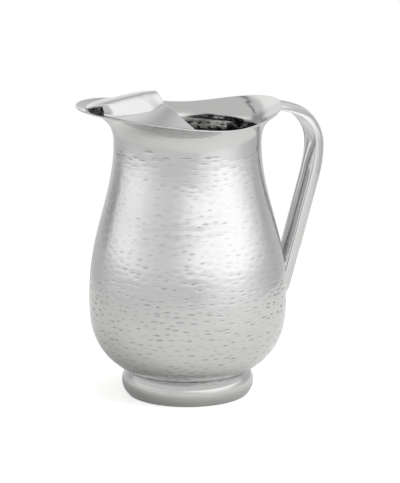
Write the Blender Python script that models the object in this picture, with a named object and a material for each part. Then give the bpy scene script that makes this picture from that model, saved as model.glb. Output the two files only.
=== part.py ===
"""Pitcher with ice guard in stainless steel, built as the separate pieces it is made from.

The body is a drawn shell with a trumpet mouth and a wavy oval rim. A pressed foot ring, a pressed ice
guard and a hollow handle (a half-round shell with a bowed closing plate) are welded to it, and the weld
beads are pieces of their own. Metres, +Z up, spout towards -X, handle towards +X, standing on Z = 0.
"""
import math

import bmesh
import bpy
import numpy as np

# Fits between pieces
GAP = 0.0003

# Body shell, from the ground up
WALL = 0.0010
BODY_LIFT = 0.0091
BELLY_RADIUS = 0.0729
BOWL_DEPTH = 0.0659
BOWL_POWER = 3.02
SHOULDER_HEIGHT = 0.1130
SHOULDER_EASE = 1.06
NECK_RADIUS = 0.0542
FLARE_POWER = 3.0
LIP_CURL_RATIO = 0.5
LIP_CURL_ANGLE = math.radians(52.0)

# Rim of the mouth: reach beyond the neck and rise above it, at six equal bearings from handle to spout
RIM_FLARE = (0.0168, 0.0112, 0.0051, 0.0122, 0.0229, 0.0297)
RIM_RISE = (0.0275, 0.0230, 0.0190, 0.0228, 0.0282, 0.0302)

# Foot ring
FOOT_WALL = 0.0012
FOOT_BULGE_RADIUS = 0.0487
FOOT_BULGE_Z = 0.0098
FOOT_BASE_INSET = 0.0043
FOOT_BASE_POWER = 2.4
FOOT_TOP_INSET = 0.0037
FOOT_EDGE_ROUND = 0.0005
FOOT_HEM = 0.0030
FOOT_BEAD = 0.0007

# Ice guard
GUARD_SHEET = 0.0008
GUARD_SEAT_HEEL_RATIO = 0.985
GUARD_SEAT_TOE_RATIO = 0.885
GUARD_HEEL_ANGLE = math.radians(108.5)
GUARD_SEAT_ANGLE = math.radians(150.0)
GUARD_TOE_ANGLE = math.radians(168.0)
GUARD_HEEL_BOW = 0.0042
RIDGE_RISE = 0.0108
RIDGE_LEVEL = 0.0088
RIDGE_FALL = 0.0069
WING_RISE_HEEL = 0.0115
WING_RISE_TOE = 0.0020
WING_POWER = 2.1
CROWN_HALF_HEEL = 0.0200
CROWN_HALF = 0.0268
CROWN_OPEN_RATIO = 0.34
CROWN_EDGE_RATIO = 0.96
NOSE_SETBACK = 0.0044
NOSE_LENGTH = 0.0102
NOSE_HALF = 0.0042
GUARD_BEAD = 0.0005

# Handle: its inner face leaves the neck, bends over, bows out, runs straight to the belly and tucks in there
HANDLE_DROP = 0.0061
HANDLE_HEADING_ANGLES = (math.radians(-5.9), math.radians(28.0), math.radians(92.3))
HANDLE_BENDS = (0.0538, 0.0258, 0.0969)
HANDLE_SEAT_RISE = 0.0050
HANDLE_TUCK = 0.0300
HANDLE_TUCK_ANGLE = math.radians(38.9)
HANDLE_HALF_TOP = 0.0133
HANDLE_HALF = 0.0102
HANDLE_DEPTH_TOP = 0.0054
HANDLE_DEPTH = 0.0104
HANDLE_TAPER = 0.0750
HANDLE_BOW = 0.0040
HANDLE_BOW_START = 0.0420
HANDLE_BOW_STOP = 0.0780
HANDLE_WALL = 0.0010
HANDLE_WELD = 0.0030

# Mesh fineness
ROUND = 52
BOWL_RINGS = 10
SIDE_RINGS = 7
FLARE_RINGS = 11
GUARD_LONG = 15
GUARD_ACROSS = 32
HANDLE_STEPS = 30
HANDLE_ARC = 13
PLATE_STRIPS = 8

# Sizes that follow from the ones above
BELLY_Z = BODY_LIFT + BOWL_DEPTH
NECK_Z = BELLY_Z + SHOULDER_HEIGHT
SPOUT_REACH = NECK_RADIUS + RIM_FLARE[-1]
SPOUT_Z = NECK_Z + RIM_RISE[-1]
NOSE_REACH = SPOUT_REACH - NOSE_SETBACK
RIDGE_Z = SPOUT_Z + RIDGE_RISE
FOOT_TOP_RADIUS = FOOT_BULGE_RADIUS - FOOT_TOP_INSET


def cosine_series(values):
    """Coefficients of the cosine series that takes the given values at equal bearings from 0 to pi."""
    count = len(values)
    bearings = np.linspace(0.0, math.pi, count)
    basis = np.cos(np.outer(bearings, np.arange(count)))
    return np.linalg.solve(basis, np.array(values))


FLARE_SERIES = cosine_series(RIM_FLARE)
RISE_SERIES = cosine_series(RIM_RISE)


def series_at(series, phi):
    """Value of a cosine series at bearings phi."""
    return sum(c * np.cos(k * phi) for k, c in enumerate(series))


def eased(t):
    """Shares from 0 to 1 that start and end gently."""
    t = np.clip(t, 0.0, 1.0)
    return t * t * (3.0 - 2.0 * t)


def flare_height(climb, phi):
    """Height above the neck at a share of the climb to the rim; the lip of the spout curls over a little."""
    from_spout = np.abs(phi % (2.0 * math.pi) - math.pi)
    curl = LIP_CURL_RATIO * np.exp(-(from_spout / LIP_CURL_ANGLE) ** 4)
    return series_at(RISE_SERIES, phi) * (climb + curl * climb ** 4 * (1.0 - climb))


def side_radius(z):
    """Radius of the body between belly and neck: half a cosine wave, eased a little towards the neck."""
    t = np.clip((z - BELLY_Z) / SHOULDER_HEIGHT, 0.0, 1.0) ** SHOULDER_EASE
    return NECK_RADIUS + (BELLY_RADIUS - NECK_RADIUS) * 0.5 * (1.0 + np.cos(math.pi * t))


def body_radius(z, phi):
    """Outside radius of the body shell at height z and bearing phi."""
    down = np.clip((BELLY_Z - z) / BOWL_DEPTH, 0.0, 1.0)
    bowl = BELLY_RADIUS * np.sqrt(1.0 - down ** BOWL_POWER)
    up = np.clip((z - NECK_Z) / series_at(RISE_SERIES, phi), 0.0, 1.1)
    flare = NECK_RADIUS + series_at(FLARE_SERIES, phi) * up ** FLARE_POWER
    return np.where(z < BELLY_Z, bowl, np.where(z < NECK_Z, side_radius(z), flare))


def outer_point(m, phi):
    """Point on the outside of the body. m goes 0 to 1 up the bowl, to 2 up the side, to 3 up the flare."""
    m, phi = np.broadcast_arrays(np.asarray(m, float), np.asarray(phi, float))
    turn = 0.5 * math.pi * np.clip(m, 0.0, 1.0)
    bowl_up = BELLY_Z - BOWL_DEPTH * np.clip(np.cos(turn), 0.0, 1.0) ** (2.0 / BOWL_POWER)
    side_up = BELLY_Z + SHOULDER_HEIGHT * np.clip(m - 1.0, 0.0, 1.0)
    climb = np.clip(m - 2.0, 0.0, 1.0)
    flare_up = NECK_Z + flare_height(climb, phi)
    flare_r = NECK_RADIUS + series_at(FLARE_SERIES, phi) * climb ** FLARE_POWER
    r = np.where(m <= 1.0, BELLY_RADIUS * np.sin(turn), np.where(m <= 2.0, side_radius(side_up), flare_r))
    z = np.where(m <= 1.0, bowl_up, np.where(m <= 2.0, side_up, flare_up))
    return np.stack([r * np.cos(phi), r * np.sin(phi), z], axis=-1)


def inner_point(m, phi, depth):
    """Point the given depth inside the outer face of the flare."""
    step = 1e-4
    m, phi = np.asarray(m, float), np.asarray(phi, float)
    along = outer_point(np.minimum(m + step, 3.0), phi) - outer_point(m - step, phi)
    around = outer_point(m, phi + step) - outer_point(m, phi - step)
    normal = np.cross(around, along)
    normal /= np.linalg.norm(normal, axis=-1, keepdims=True)
    return outer_point(m, phi) - depth * normal


def body_clearance(p):
    """Distance of points outside the body shell, measured square to its face."""
    r, phi, z = np.hypot(p[..., 0], p[..., 1]), np.arctan2(p[..., 1], p[..., 0]), p[..., 2]
    slope = (body_radius(z + 1e-5, phi) - body_radius(z - 1e-5, phi)) / 2e-5
    return (r - body_radius(z, phi)) / np.sqrt(1.0 + slope ** 2)


def bend(x, z, heading, radius, turn):
    """End of an arc that starts at (x, z) with a heading measured downwards from +X."""
    return (x + radius * (math.sin(heading + turn) - math.sin(heading)),
            z - radius * (math.cos(heading) - math.cos(heading + turn)))


def handle_runs():
    """Length and curvature of each run of the handle's flat face, from the neck down to the belly."""
    x, z = NECK_RADIUS, NECK_Z + RIM_RISE[0] - HANDLE_DROP
    runs = []
    for radius, start, stop in zip(HANDLE_BENDS, HANDLE_HEADING_ANGLES[:-1], HANDLE_HEADING_ANGLES[1:]):
        x, z = bend(x, z, start, radius, stop - start)
        runs.append((radius * (stop - start), 1.0 / radius))
    seat_z = BELLY_Z + HANDLE_SEAT_RISE
    seat_x = float(body_radius(seat_z, 0.0)) + GAP
    heading, radius = HANDLE_HEADING_ANGLES[-1], HANDLE_BENDS[-1]
    low, high = 0.0, math.radians(60.0)
    for _ in range(60):
        turn = 0.5 * (low + high)
        end_x, end_z = bend(x, z, heading, radius, turn)
        wanted = math.atan2(end_z - seat_z, seat_x - end_x)
        low, high = (turn, high) if heading + turn < wanted else (low, turn)
    end_x, end_z = bend(x, z, heading, radius, low)
    runs.append((radius * low, 1.0 / radius))
    runs.append((math.hypot(end_x - seat_x, end_z - seat_z), 0.0))
    runs.append((HANDLE_TUCK * HANDLE_TUCK_ANGLE, 1.0 / HANDLE_TUCK))
    return runs


HANDLE_RUNS = handle_runs()
HANDLE_LENGTH = sum(length for length, _ in HANDLE_RUNS)


def handle_frame(s):
    """Line of the handle's flat face at length s: point (x, z) and outward normal (x, z)."""
    s = np.asarray(s, float)
    h0, start = HANDLE_HEADING_ANGLES[0], 0.0
    x0, z0 = NECK_RADIUS, NECK_Z + RIM_RISE[0] - HANDLE_DROP
    heading = np.full_like(s, h0)
    x, z = x0 + s * math.cos(h0), z0 - s * math.sin(h0)
    for length, curve in HANDLE_RUNS:
        run = np.append(np.clip(s - start, 0.0, length).ravel(), length)
        h = h0 + curve * run
        if curve:
            px, pz = x0 + (np.sin(h) - math.sin(h0)) / curve, z0 - (math.cos(h0) - np.cos(h)) / curve
        else:
            px, pz = x0 + run * math.cos(h0), z0 - run * math.sin(h0)
        on = s >= start
        x = np.where(on, px[:-1].reshape(s.shape), x)
        z = np.where(on, pz[:-1].reshape(s.shape), z)
        heading = np.where(on, h[:-1].reshape(s.shape), heading)
        x0, z0, h0, start = px[-1], pz[-1], h[-1], start + length
    return np.stack([x, z], -1), np.stack([np.sin(heading), np.cos(heading)], -1)


def handle_size(s):
    """Half width and depth of the handle at length s: wide and flat at the rim, narrow and deep below."""
    t = eased(np.asarray(s) / HANDLE_TAPER)
    return (HANDLE_HALF_TOP + (HANDLE_HALF - HANDLE_HALF_TOP) * t,
            HANDLE_DEPTH_TOP + (HANDLE_DEPTH - HANDLE_DEPTH_TOP) * t)


def handle_point(s, lines):
    """Points of the handle at lengths s.

    Each section line is (share of half width, inset, share of depth, inset, height added, share of bow).
    """
    s = np.asarray(s, float)
    flat, normal = handle_frame(s)
    half, depth = handle_size(s)
    across = lines[:, 0] * (half - lines[:, 1])
    bow = HANDLE_BOW * eased((s - HANDLE_BOW_START) / (HANDLE_BOW_STOP - HANDLE_BOW_START))
    height = lines[:, 2] * (depth - lines[:, 3]) + lines[:, 4] - lines[:, 5] * bow
    at = flat + height[..., None] * normal
    return np.stack([at[..., 0], across, at[..., 1]], -1)


def half_round(inset, low, count):
    """Half-round section line from one edge over the top to the other, set in from the outer face."""
    turn = np.linspace(low, math.pi - low, count)
    inset, none = np.full(count, inset), np.zeros(count)
    return np.stack([np.cos(turn), inset, np.sin(turn), inset, none, none], -1)


def trim(lines, clear):
    """Lengths at which lines along the handle leave the flare and meet the belly."""
    ends = []
    lead = NECK_RADIUS
    for inside, outside in ((-0.5 * lead, 0.5 * lead), (HANDLE_LENGTH, 0.5 * HANDLE_LENGTH)):
        low, high = np.full(len(lines), inside), np.full(len(lines), outside)
        for _ in range(50):
            mid = 0.5 * (low + high)
            free = body_clearance(handle_point(mid, lines)) > clear
            low, high = np.where(free, low, mid), np.where(free, mid, high)
        ends.append(high)
    return ends


def clear_scene():
    """Start from an empty scene."""
    for ob in list(bpy.data.objects):
        bpy.data.objects.remove(ob, do_unlink=True)


def steel(name, grey, roughness):
    """Principled steel of a given grey and roughness."""
    mat = bpy.data.materials.new(name)
    mat.use_nodes = True
    shader = mat.node_tree.nodes["Principled BSDF"]
    shader.inputs["Base Color"].default_value = (grey, grey, grey * 0.98, 1.0)
    shader.inputs["Metallic"].default_value = 1.0
    shader.inputs["Roughness"].default_value = roughness
    return mat


def add_piece(name, bm, mat, axis, closed=True):
    """Turn a bmesh into one piece, shaded smooth and hung on the body's axis."""
    if closed:
        bmesh.ops.recalc_face_normals(bm, faces=bm.faces[:])
    mesh = bpy.data.meshes.new(name)
    bm.to_mesh(mesh)
    bm.free()
    mesh.shade_smooth()
    mesh.set_sharp_from_angle(angle=math.radians(40.0))
    mesh.materials.append(mat)
    ob = bpy.data.objects.new(name, mesh)
    ob.parent = axis
    bpy.context.scene.collection.objects.link(ob)
    return ob


def thicken(ob, thickness, offset):
    """Give a sheet its thickness on one side of its face."""
    solid = ob.modifiers.new("sheet", "SOLIDIFY")
    solid.thickness = thickness
    solid.offset = offset
    solid.use_even_offset = True
    solid.use_rim = True


def grid_mesh(points, wrap):
    """Open bmesh of quads from a grid of points, wrapping round along its second axis if asked."""
    bm = bmesh.new()
    rows = [[bm.verts.new(tuple(p)) for p in row] for row in points]
    count = len(rows[0])
    for a, b in zip(rows[:-1], rows[1:]):
        for j in range(count if wrap else count - 1):
            k = (j + 1) % count
            bm.faces.new((a[j], a[k], b[k], b[j]))
    return bm, rows


def turned(section):
    """Solid turned about the body's axis from a closed section of (r, z) points."""
    bm = bmesh.new()
    loop = [bm.verts.new((r, 0.0, z)) for r, z in section]
    edges = [bm.edges.new((a, b)) for a, b in zip(loop, loop[1:] + loop[:1])]
    bmesh.ops.spin(bm, geom=loop + edges, cent=(0.0, 0.0, 0.0), axis=(0.0, 0.0, 1.0), dvec=(0.0, 0.0, 0.0),
                   angle=2.0 * math.pi, steps=ROUND, use_merge=True, use_duplicate=False)
    return bm


def bead(points, radius, sides=6):
    """Round weld bead along a line of points, closed with flat ends."""
    points = np.asarray(points)
    ahead = np.gradient(points, axis=0)
    ahead /= np.linalg.norm(ahead, axis=1, keepdims=True)
    side = np.cross(ahead, np.array([0.0, 0.0, 1.0]))
    side /= np.linalg.norm(side, axis=1, keepdims=True)
    up = np.cross(side, ahead)
    turn = np.linspace(0.0, 2.0 * math.pi, sides, endpoint=False)[None, :, None]
    ring = points[:, None] + radius * (np.cos(turn) * side[:, None] + np.sin(turn) * up[:, None])
    bm, rows = grid_mesh(ring, True)
    bm.faces.new(rows[0][::-1])
    bm.faces.new(rows[-1])
    return bm


def build_body(mat, axis):
    """Drawn shell: its outer face from the middle of the bowl up to the rim, thickened inwards."""
    steps = np.concatenate([
        np.linspace(0.0, 1.0, BOWL_RINGS + 1)[1:] ** 0.85,
        1.0 + np.linspace(0.0, 1.0, SIDE_RINGS + 1)[1:],
        2.0 + np.linspace(0.0, 1.0, FLARE_RINGS + 1)[1:] ** 0.8])
    phi = np.linspace(0.0, 2.0 * math.pi, ROUND, endpoint=False)
    bm, rows = grid_mesh(outer_point(*np.meshgrid(steps, phi, indexing="ij")), True)
    middle = bm.verts.new((0.0, 0.0, BODY_LIFT))
    for a, b in zip(rows[0], rows[0][1:] + rows[0][:1]):
        bm.faces.new((middle, b, a))
    ob = add_piece("body_shell", bm, mat, axis, closed=False)
    thicken(ob, WALL, -1.0)


def bowl_z(r):
    """Height of the bowl's underside at radius r."""
    return BELLY_Z - BOWL_DEPTH * (1.0 - (r / BELLY_RADIUS) ** 2) ** (1.0 / BOWL_POWER)


def foot_lines():
    """Outer and inner lines of the foot ring as (r, z) points, from the ground up to the body."""
    top_z = bowl_z(FOOT_TOP_RADIUS) - 1.5 * GAP
    z = np.concatenate([np.linspace(FOOT_EDGE_ROUND, FOOT_BULGE_Z, 5),
                        np.linspace(FOOT_BULGE_Z, top_z, 5)[1:]])
    low = np.maximum((FOOT_BULGE_Z - z) / FOOT_BULGE_Z, 0.0)
    high = np.maximum((z - FOOT_BULGE_Z) / (top_z - FOOT_BULGE_Z), 0.0)
    r = FOOT_BULGE_RADIUS - FOOT_BASE_INSET * low ** FOOT_BASE_POWER - FOOT_TOP_INSET * high ** 2
    line = np.stack([r, z], -1)
    ahead = np.gradient(line, axis=0)
    ahead /= np.linalg.norm(ahead, axis=1, keepdims=True)
    back = line + FOOT_WALL * np.stack([-ahead[:, 1], ahead[:, 0]], -1)
    back[:, 1] = np.minimum(back[:, 1], line[:, 1])
    back[0] = np.interp(FOOT_WALL, back[:, 1], back[:, 0]), FOOT_WALL
    return line, back


def build_foot(mat, axis):
    """Pressed foot ring with a rounded edge and a flat hem turned in, which it stands on."""
    line, back = foot_lines()
    stand = line[0, 0] - FOOT_EDGE_ROUND
    section = [(stand - FOOT_HEM, 0.0), (stand, 0.0)]
    section += [tuple(p) for p in line] + [tuple(p) for p in back[::-1]] + [(stand - FOOT_HEM, FOOT_WALL)]
    add_piece("foot_ring", turned(section), mat, axis)


def build_foot_weld(mat, axis):
    """Bead in the corner between the bowl's underside and the inside of the foot ring."""
    back = foot_lines()[1]
    share = np.linspace(0.0, 1.0, len(back))
    fine = np.stack([np.interp(np.linspace(0.0, 1.0, 400), share, back[:, k]) for k in (0, 1)], -1)
    keep = FOOT_BEAD + GAP
    centre = None
    for r in np.linspace(back[-1, 0], 0.8 * back[-1, 0], 400):
        slope = (bowl_z(r + 1e-5) - bowl_z(r - 1e-5)) / 2e-5
        centre = np.array([r, bowl_z(r) - keep * math.sqrt(1.0 + slope ** 2)])
        if np.linalg.norm(fine - centre, axis=1).min() >= keep:
            break
    turn = np.linspace(0.0, 2.0 * math.pi, 6, endpoint=False)
    section = [(centre[0] + FOOT_BEAD * math.cos(t), centre[1] + FOOT_BEAD * math.sin(t)) for t in turn]
    add_piece("foot_ring_weld", turned(section), mat, axis)


class GuardSurface:
    """Underside of the ice guard: u runs from the heel (over the mouth) to the toe, v across it."""

    def __init__(self):
        bearing = np.linspace(GUARD_HEEL_ANGLE - 0.2, GUARD_TOE_ANGLE + 0.2, 400)
        turn = (bearing - GUARD_HEEL_ANGLE) / (GUARD_SEAT_ANGLE - GUARD_HEEL_ANGLE)
        seat = GUARD_SEAT_HEEL_RATIO + (GUARD_SEAT_TOE_RATIO - GUARD_SEAT_HEEL_RATIO) * eased(turn)
        self.edge = inner_point(2.0 + seat, bearing, WALL + 1.2 * GAP)
        self.heel_x = np.interp(GUARD_HEEL_ANGLE, bearing, self.edge[:, 0])
        self.toe_x = np.interp(GUARD_TOE_ANGLE, bearing, self.edge[:, 0])
        self.toe_half = np.interp(GUARD_TOE_ANGLE, bearing, self.edge[:, 1])
        self.mid_heel = self.heel_x - GUARD_HEEL_BOW
        floor = inner_point(np.linspace(2.5, 3.0, 400), np.full(400, math.pi), WALL)
        self.landing = np.interp(NOSE_REACH, -floor[:, 0], floor[:, 2]) + 1.5 * GAP + GUARD_SHEET

    def ridge(self, x):
        """Top of the guard along its middle: level, a slow fall, then a steep end that lands on the lip."""
        start = RIDGE_LEVEL - self.mid_heel
        s = np.clip((-x - start) / (NOSE_REACH - start), 0.0, 1.0)
        return RIDGE_Z - RIDGE_FALL * s ** 1.15 - (RIDGE_Z - RIDGE_FALL - self.landing) * s ** 24

    def toe_line(self, v):
        """Front edge: set back beside the nose to leave a drain opening, forward again at the lip."""
        back = NOSE_REACH - NOSE_LENGTH
        nose = NOSE_LENGTH * np.exp(-(np.abs(v) * self.toe_half / NOSE_HALF) ** 4)
        return -(back + (-self.toe_x - back) * v ** 4 + nose)

    def point(self, u, v):
        """Point on the underside of the guard."""
        u, v = np.broadcast_arrays(np.asarray(u, float), np.asarray(v, float))
        heel = self.heel_x - GUARD_HEEL_BOW * (1.0 - v ** 4)
        x = heel + (self.toe_line(v) - heel) * u
        edge_x = self.heel_x + (self.toe_x - self.heel_x) * u
        half = np.interp(-edge_x, -self.edge[:, 0], self.edge[:, 1])
        edge_z = np.interp(-edge_x, -self.edge[:, 0], self.edge[:, 2])
        rise = WING_RISE_TOE + (WING_RISE_HEEL - WING_RISE_TOE) * (1.0 - u) ** 1.8
        opened = eased(u / CROWN_OPEN_RATIO)
        wide = CROWN_HALF_HEEL + (CROWN_HALF - CROWN_HALF_HEEL) * opened
        wide = (wide ** -8 + (CROWN_EDGE_RATIO * half) ** -8) ** -0.125
        t = np.clip(np.abs(v * half) / wide, 0.0, 1.0)
        crown = self.ridge(x) - GUARD_SHEET - edge_z - rise
        crown = crown * np.cos(0.5 * math.pi * t) ** (2.0 - 0.6 * opened)
        z = edge_z + rise * (1.0 - np.abs(v) ** WING_POWER) + crown
        return np.stack([x, v * half, z], -1)


def lip_floor(p):
    """Height of the flare's inner face straight below points p."""
    r, phi = np.hypot(p[..., 0], p[..., 1]), np.arctan2(p[..., 1], p[..., 0])
    flare, rise = series_at(FLARE_SERIES, phi), series_at(RISE_SERIES, phi)
    climb = np.clip((r - NECK_RADIUS) / flare, 1e-6, 1.0) ** (1.0 / FLARE_POWER)
    slope = rise / flare / (FLARE_POWER * climb ** (FLARE_POWER - 1.0))
    return NECK_Z + flare_height(climb, phi) + WALL * np.sqrt(1.0 + slope ** 2)


def build_guard(surface, mat, axis):
    """Pressed guard sheet: sloping wings, a hooded crown and a nose between two drain openings."""
    u = np.linspace(0.0, 1.0, GUARD_LONG + 1) ** 0.85
    across = np.linspace(-1.0, 1.0, GUARD_ACROSS + 1)
    v = np.sign(across) * np.abs(across) ** 1.25
    bm, _ = grid_mesh(surface.point(*np.meshgrid(u, v, indexing="ij")), False)
    ob = add_piece("ice_guard", bm, mat, axis, closed=False)
    thicken(ob, GUARD_SHEET, 1.0)


def build_guard_welds(surface, mat, axis):
    """Beads in the corner under each wing, and a short one under the nose."""
    room = 2.0 * GUARD_BEAD + 4.5 * GAP
    u = np.linspace(0.06, 0.86, 20)

    def seat(point_at, low, high):
        """Narrow the parameter until the room between guard and flare is right for the bead."""
        for _ in range(40):
            mid = 0.5 * (low + high)
            p = point_at(mid)
            wide = p[..., 2] - lip_floor(p) > room
            low, high = np.where(wide, mid, low), np.where(wide, high, mid)
        p = point_at(low)
        p[..., 2] = 0.5 * (p[..., 2] + lip_floor(p))
        return p

    for name, side in (("guard_near_weld", -1.0), ("guard_far_weld", 1.0)):
        line = seat(lambda v: surface.point(u, side * v), np.full_like(u, 0.6), np.full_like(u, 1.0))
        add_piece(name, bead(line, GUARD_BEAD), mat, axis)
    toe = seat(lambda t: surface.point(t, np.zeros_like(t)), np.full(1, 0.8), np.full(1, 1.0))[0]
    y = np.linspace(-0.5, 0.5, 5)[:, None] * NOSE_HALF
    add_piece("guard_nose_weld", bead(toe + y * np.array([0.0, 1.0, 0.0]), GUARD_BEAD), mat, axis)


def sweep(lines, start, stop, steps):
    """Open sweep of section lines along the handle, from start to stop lengths."""
    t = np.linspace(0.0, 1.0, steps + 1)
    return grid_mesh(np.stack([handle_point(start + (stop - start) * k, lines) for k in t]), True)


def paired_sweep(lines):
    """Closed sweep of a section whose lines pair up across its thickness, cut to the flare and belly."""
    bm, rows = sweep(lines, *trim(lines, GAP), HANDLE_STEPS)
    count = len(lines)
    for row in (rows[0], rows[-1]):
        for k in range(count // 2 - 1):
            bm.faces.new((row[k], row[k + 1], row[count - 2 - k], row[count - 1 - k]))
    return bm


def build_handle(shell_mat, plate_mat, weld_mat, axis):
    """Hollow handle: half-round shell, bowed closing plate, and a weld slug inside each end."""
    outside, inside = half_round(0.0, 0.0, HANDLE_ARC), half_round(HANDLE_WALL, 0.0, HANDLE_ARC)
    add_piece("handle_outer_shell", paired_sweep(np.concatenate([outside, inside[::-1]])), shell_mat, axis)

    strip = np.linspace(-1.0, 1.0, PLATE_STRIPS + 1)
    none = np.zeros_like(strip)
    under = np.stack([strip, none + HANDLE_WALL + 2.0 * GAP, none, none, none, 1.0 - strip ** 2], -1)
    over = under + np.array([0.0, 0.0, 0.0, 0.0, HANDLE_WALL, 0.0])
    add_piece("handle_inner_plate", paired_sweep(np.concatenate([over, under[::-1]])), plate_mat, axis)

    middle = np.array([[0.0, 0.0, 0.5, 0.0, 0.0, 0.0]])
    lines = half_round(HANDLE_WALL + 1.2 * GAP, math.radians(18.0), 9)
    upper, lower = trim(np.concatenate([lines, middle]), 2.0 * GAP)
    for name, start, stop in (("handle_rim_weld", upper, upper + HANDLE_WELD),
                              ("handle_body_weld", lower - HANDLE_WELD, lower)):
        bm, rows = sweep(lines, start[:-1], stop[:-1], 2)
        for row, end in ((rows[0], start[-1:]), (rows[-1], stop[-1:])):
            hub = bm.verts.new(tuple(handle_point(end, middle)[0]))
            for a, b in zip(row, row[1:] + row[:1]):
                bm.faces.new((hub, a, b))
        add_piece(name, bm, weld_mat, axis)


def main():
    """Build every piece of the pitcher round its axis, with the whole centred between spout and handle."""
    clear_scene()
    crest = np.tile([0.0, 0.0, 1.0, 0.0, 0.0, 0.0], (4000, 1))
    handle_reach = float(handle_point(np.linspace(0.0, HANDLE_LENGTH, 4000), crest)[:, 0].max())
    axis = bpy.data.objects.new("pitcher_axis", None)
    axis.location = (0.5 * (SPOUT_REACH - handle_reach), 0.0, 0.0)
    bpy.context.scene.collection.objects.link(axis)

    build_body(steel("hammered_steel", 0.62, 0.18), axis)
    build_foot(steel("polished_steel_foot", 0.64, 0.12), axis)
    build_foot_weld(steel("weld_steel_foot", 0.50, 0.40), axis)
    guard = GuardSurface()
    build_guard(guard, steel("polished_steel_guard", 0.66, 0.10), axis)
    build_guard_welds(guard, steel("weld_steel_guard", 0.50, 0.40), axis)
    build_handle(steel("polished_steel_handle", 0.66, 0.10), steel("polished_steel_plate", 0.62, 0.14),
                 steel("weld_steel_handle", 0.50, 0.40), axis)


main()
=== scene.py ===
"""Dressed pitcher with ice guard: hammered stainless steel body, polished foot, guard and hollow handle.

Metres, +Z up, spout towards -X, handle towards +X, the foot standing on Z = 0.
"""
import logging
import math
from dataclasses import dataclass, field
from enum import Enum
from typing import Any, Callable, Optional

import bpy
import numpy as np
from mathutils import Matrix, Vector


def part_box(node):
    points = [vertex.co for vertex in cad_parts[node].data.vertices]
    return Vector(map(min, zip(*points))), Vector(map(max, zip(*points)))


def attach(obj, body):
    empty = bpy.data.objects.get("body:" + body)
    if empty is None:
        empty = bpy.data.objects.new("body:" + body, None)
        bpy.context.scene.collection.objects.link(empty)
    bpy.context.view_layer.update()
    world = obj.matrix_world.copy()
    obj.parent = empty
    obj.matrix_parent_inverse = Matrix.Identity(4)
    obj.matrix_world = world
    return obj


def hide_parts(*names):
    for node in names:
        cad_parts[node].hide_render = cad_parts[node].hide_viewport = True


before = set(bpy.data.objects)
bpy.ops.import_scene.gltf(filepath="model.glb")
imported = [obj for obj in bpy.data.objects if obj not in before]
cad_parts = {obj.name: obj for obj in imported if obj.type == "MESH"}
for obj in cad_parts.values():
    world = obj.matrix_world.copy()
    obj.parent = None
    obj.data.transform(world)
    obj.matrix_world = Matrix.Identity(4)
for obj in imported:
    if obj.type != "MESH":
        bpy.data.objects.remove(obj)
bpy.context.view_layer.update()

Array = np.ndarray
LOG = logging.getLogger("pitcher")
MM = 0.001
WHITE = (1.0, 1.0, 1.0, 1.0)


# Colour and node helpers

def linear(hex_code: str) -> tuple[float, float, float, float]:
    """Turn an sRGB hex colour into linear RGBA.

    Args:
        hex_code: Colour written as "#rrggbb".

    Returns:
        The linear red, green, blue and an alpha of 1.
    """
    parts = [int(hex_code[k:k + 2], 16) / 255.0 for k in (1, 3, 5)]
    red, green, blue = [c / 12.92 if c <= 0.04045 else ((c + 0.055) / 1.055) ** 2.4 for c in parts]
    return red, green, blue, 1.0


def add_node(tree: bpy.types.NodeTree, kind: str, inputs: Optional[dict[Any, Any]] = None,
             **settings: Any) -> bpy.types.Node:
    """Add one node with its settings, and set or link its inputs.

    Args:
        tree: Node tree that the node goes into.
        kind: Node type, such as "ShaderNodeMath".
        inputs: Socket name or number to a value, or to another node's output socket.
        **settings: Properties of the node itself.

    Returns:
        The new node.
    """
    node = tree.nodes.new(kind)
    for key, value in settings.items():
        setattr(node, key, value)
    for key, value in (inputs or {}).items():
        if isinstance(value, bpy.types.NodeSocket):
            tree.links.new(value, node.inputs[key])
        else:
            node.inputs[key].default_value = value
    return node


# Finishes

class Grain(Enum):
    """Which way the buffing wheel ran over a piece."""

    ROUND = "round the upright axis"
    ALONG = "along the piece"


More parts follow.
